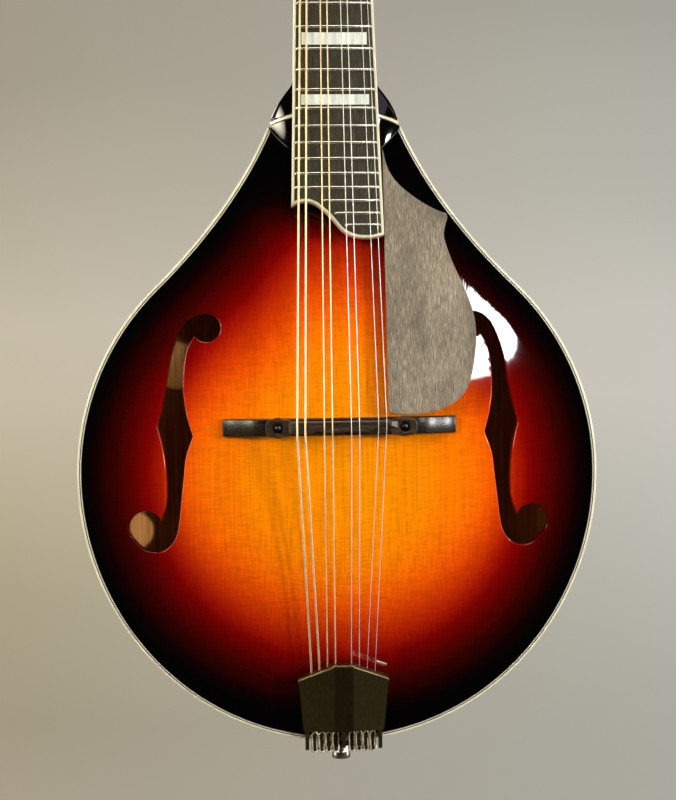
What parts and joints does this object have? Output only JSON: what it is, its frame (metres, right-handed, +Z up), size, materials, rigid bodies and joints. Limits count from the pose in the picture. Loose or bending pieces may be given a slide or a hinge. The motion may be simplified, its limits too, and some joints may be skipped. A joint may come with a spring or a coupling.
{
  "type": "acoustic-electric mandolin",
  "caption": "Teardrop-bodied mandolin with a carved sunburst top, f-holes, paired strings, floating bridge, cast tailpiece and an end-pin jack for its pickup.",
  "frame": {"origin": "on the fretboard's face at the nut's front edge, where a hanger holds the neck", "axes": "+Z up the neck towards the headstock, -Y out of the front, +X to the side of the thin strings"},
  "size_m": [0.249, 0.1012, 0.6674],
  "materials": {
    "top_lacquer": "sunburst gloss lacquer over carved spruce",
    "body_lacquer": "dark red-brown gloss lacquer over maple",
    "black_lacquer": "black gloss lacquer over maple",
    "ebony": "satin oiled ebony",
    "cream_binding": "polished cream plastic with black lines",
    "bone": "polished bone",
    "pearl_button": "polished pearly plastic on a steel worm",
    "bare_spruce": "bare planed spruce",
    "bare_maple": "bare planed maple",
    "nickel": "polished nickel plate",
    "steel": "plain steel",
    "string_bronze": "bronze winding over steel",
    "string_steel": "bright plain steel wire",
    "tail_metal": "cast metal with a brushed dark pewter finish",
    "brass": "turned brass, dulled",
    "lead_jacket": "black cable jacket"
  },
  "bodies": {
    "root": {"top_plate": "top_lacquer", "back_plate": "body_lacquer", "rim_treble": "body_lacquer", "rim_bass": "body_lacquer", "top_binding": "cream_binding", "back_binding": "cream_binding", "joint_binding": "cream_binding", "fretboard_binding": "cream_binding", "top_lining": "bare_spruce", "back_lining": "bare_spruce", "tone_bar_treble": "bare_spruce", "tone_bar_bass": "bare_spruce", "neck_block": "bare_maple", "tail_block": "bare_maple", "neck": "black_lacquer", "joint_platform": "black_lacquer", "headstock_overlay": "ebony", "truss_rod_cover": "ebony", "fretboard": "ebony", "bridge_base": "ebony", "pickguard": "ebony", "pickguard_post": "ebony", "nut": "bone", "truss_rod": "steel", "pickup_bass": "brass", "pickup_treble": "brass", "tuner_plate_bass": "nickel", "tuner_plate_treble": "nickel", "end_pin_jack": "nickel", "strap_button": "nickel", "tailpiece": "tail_metal", "pickup_lead": "lead_jacket", "string_g1": "string_bronze", "string_g2": "string_bronze", "string_d1": "string_bronze", "string_d2": "string_bronze", "string_a1": "string_steel", "string_a2": "string_steel", "string_e1": "string_steel", "string_e2": "string_steel"},
    "saddle": {"bridge_saddle": "ebony"},
    "wheel_bass": {"thumbwheel_bass": "brass"},
    "wheel_treble": {"thumbwheel_treble": "brass"},
    "rod_nut": {"truss_rod_nut": "brass"},
    "post_bass_1": {"string_post_bass_1": "nickel"},
    "button_bass_1": {"tuner_button_bass_1": "pearl_button"},
    "post_bass_2": {"string_post_bass_2": "nickel"},
    "button_bass_2": {"tuner_button_bass_2": "pearl_button"},
    "post_bass_3": {"string_post_bass_3": "nickel"},
    "button_bass_3": {"tuner_button_bass_3": "pearl_button"},
    "post_bass_4": {"string_post_bass_4": "nickel"},
    "button_bass_4": {"tuner_button_bass_4": "pearl_button"},
    "post_treble_1": {"string_post_treble_1": "nickel"},
    "button_treble_1": {"tuner_button_treble_1": "pearl_button"},
    "post_treble_2": {"string_post_treble_2": "nickel"},
    "button_treble_2": {"tuner_button_treble_2": "pearl_button"},
    "post_treble_3": {"string_post_treble_3": "nickel"},
    "button_treble_3": {"tuner_button_treble_3": "pearl_button"},
    "post_treble_4": {"string_post_treble_4": "nickel"},
    "button_treble_4": {"tuner_button_treble_4": "pearl_button"}
  },
  "joints": [
    {"name": "button_bass_1_turn", "type": "hinge", "parent": "root", "child": "button_bass_1", "pos_m": [-0.018, 0.03248, 0.0229], "axis": [1, 0, 0], "continuous": true},
    {"name": "post_bass_1_turn", "type": "hinge", "parent": "root", "child": "post_bass_1", "pos_m": [-0.018, 0.01273, 0.03792], "axis": [0, -0.948, 0.3183], "continuous": true},
    {"name": "button_bass_2_turn", "type": "hinge", "parent": "root", "child": "button_bass_2", "pos_m": [-0.018, 0.0398, 0.04471], "axis": [1, 0, 0], "continuous": true},
    {"name": "post_bass_2_turn", "type": "hinge", "parent": "root", "child": "post_bass_2", "pos_m": [-0.018, 0.02005, 0.05972], "axis": [0, -0.948, 0.3183], "continuous": true},
    {"name": "button_bass_3_turn", "type": "hinge", "parent": "root", "child": "button_bass_3", "pos_m": [-0.018, 0.04712, 0.06651], "axis": [1, 0, 0], "continuous": true},
    {"name": "post_bass_3_turn", "type": "hinge", "parent": "root", "child": "post_bass_3", "pos_m": [-0.018, 0.02737, 0.08153], "axis": [0, -0.948, 0.3183], "continuous": true},
    {"name": "button_bass_4_turn", "type": "hinge", "parent": "root", "child": "button_bass_4", "pos_m": [-0.018, 0.05444, 0.08831], "axis": [1, 0, 0], "continuous": true},
    {"name": "post_bass_4_turn", "type": "hinge", "parent": "root", "child": "post_bass_4", "pos_m": [-0.018, 0.03469, 0.10333], "axis": [0, -0.948, 0.3183], "continuous": true},
    {"name": "button_treble_1_turn", "type": "hinge", "parent": "root", "child": "button_treble_1", "pos_m": [0.018, 0.03248, 0.0229], "axis": [1, 0, 0], "continuous": true},
    {"name": "post_treble_1_turn", "type": "hinge", "parent": "root", "child": "post_treble_1", "pos_m": [0.018, 0.01273, 0.03792], "axis": [0, -0.948, 0.3183], "continuous": true},
    {"name": "button_treble_2_turn", "type": "hinge", "parent": "root", "child": "button_treble_2", "pos_m": [0.018, 0.0398, 0.04471], "axis": [1, 0, 0], "continuous": true},
    {"name": "post_treble_2_turn", "type": "hinge", "parent": "root", "child": "post_treble_2", "pos_m": [0.018, 0.02005, 0.05972], "axis": [0, -0.948, 0.3183], "continuous": true},
    {"name": "button_treble_3_turn", "type": "hinge", "parent": "root", "child": "button_treble_3", "pos_m": [0.018, 0.04712, 0.06651], "axis": [1, 0, 0], "continuous": true},
    {"name": "post_treble_3_turn", "type": "hinge", "parent": "root", "child": "post_treble_3", "pos_m": [0.018, 0.02737, 0.08153], "axis": [0, -0.948, 0.3183], "continuous": true},
    {"name": "button_treble_4_turn", "type": "hinge", "parent": "root", "child": "button_treble_4", "pos_m": [0.018, 0.05444, 0.08831], "axis": [1, 0, 0], "continuous": true},
    {"name": "post_treble_4_turn", "type": "hinge", "parent": "root", "child": "post_treble_4", "pos_m": [0.018, 0.03469, 0.10333], "axis": [0, -0.948, 0.3183], "continuous": true},
    {"name": "rod_nut_turn", "type": "hinge", "parent": "root", "child": "rod_nut", "pos_m": [0, 0.01232, 0.01106], "axis": [0, 0.0795, 0.9968], "range_deg": [-180, 180]},
    {"name": "saddle_height", "type": "slide", "parent": "root", "child": "saddle", "axis": [0, -1, 0], "range_m": [-0.0012, 0]},
    {"name": "wheel_bass_turn", "type": "hinge", "parent": "saddle", "child": "wheel_bass", "pos_m": [-0.0292, -0.02425, -0.3516], "axis": [0, -1, 0], "range_deg": [-617.2, 0]},
    {"name": "wheel_treble_turn", "type": "hinge", "parent": "saddle", "child": "wheel_treble", "pos_m": [0.0292, -0.02425, -0.3516], "axis": [0, -1, 0], "range_deg": [-617.2, 0]}
  ],
  "couplings": [
    {"joint": "post_bass_1_turn", "follows": "button_bass_1_turn", "ratio": -0.0625},
    {"joint": "post_bass_2_turn", "follows": "button_bass_2_turn", "ratio": -0.0625},
    {"joint": "post_bass_3_turn", "follows": "button_bass_3_turn", "ratio": -0.0625},
    {"joint": "post_bass_4_turn", "follows": "button_bass_4_turn", "ratio": -0.0625},
    {"joint": "post_treble_1_turn", "follows": "button_treble_1_turn", "ratio": -0.0625},
    {"joint": "post_treble_2_turn", "follows": "button_treble_2_turn", "ratio": -0.0625},
    {"joint": "post_treble_3_turn", "follows": "button_treble_3_turn", "ratio": -0.0625},
    {"joint": "post_treble_4_turn", "follows": "button_treble_4_turn", "ratio": -0.0625},
    {"joint": "wheel_bass_turn", "follows": "saddle_height", "rad_per_m": 8976},
    {"joint": "wheel_treble_turn", "follows": "saddle_height", "rad_per_m": 8976}
  ]
}
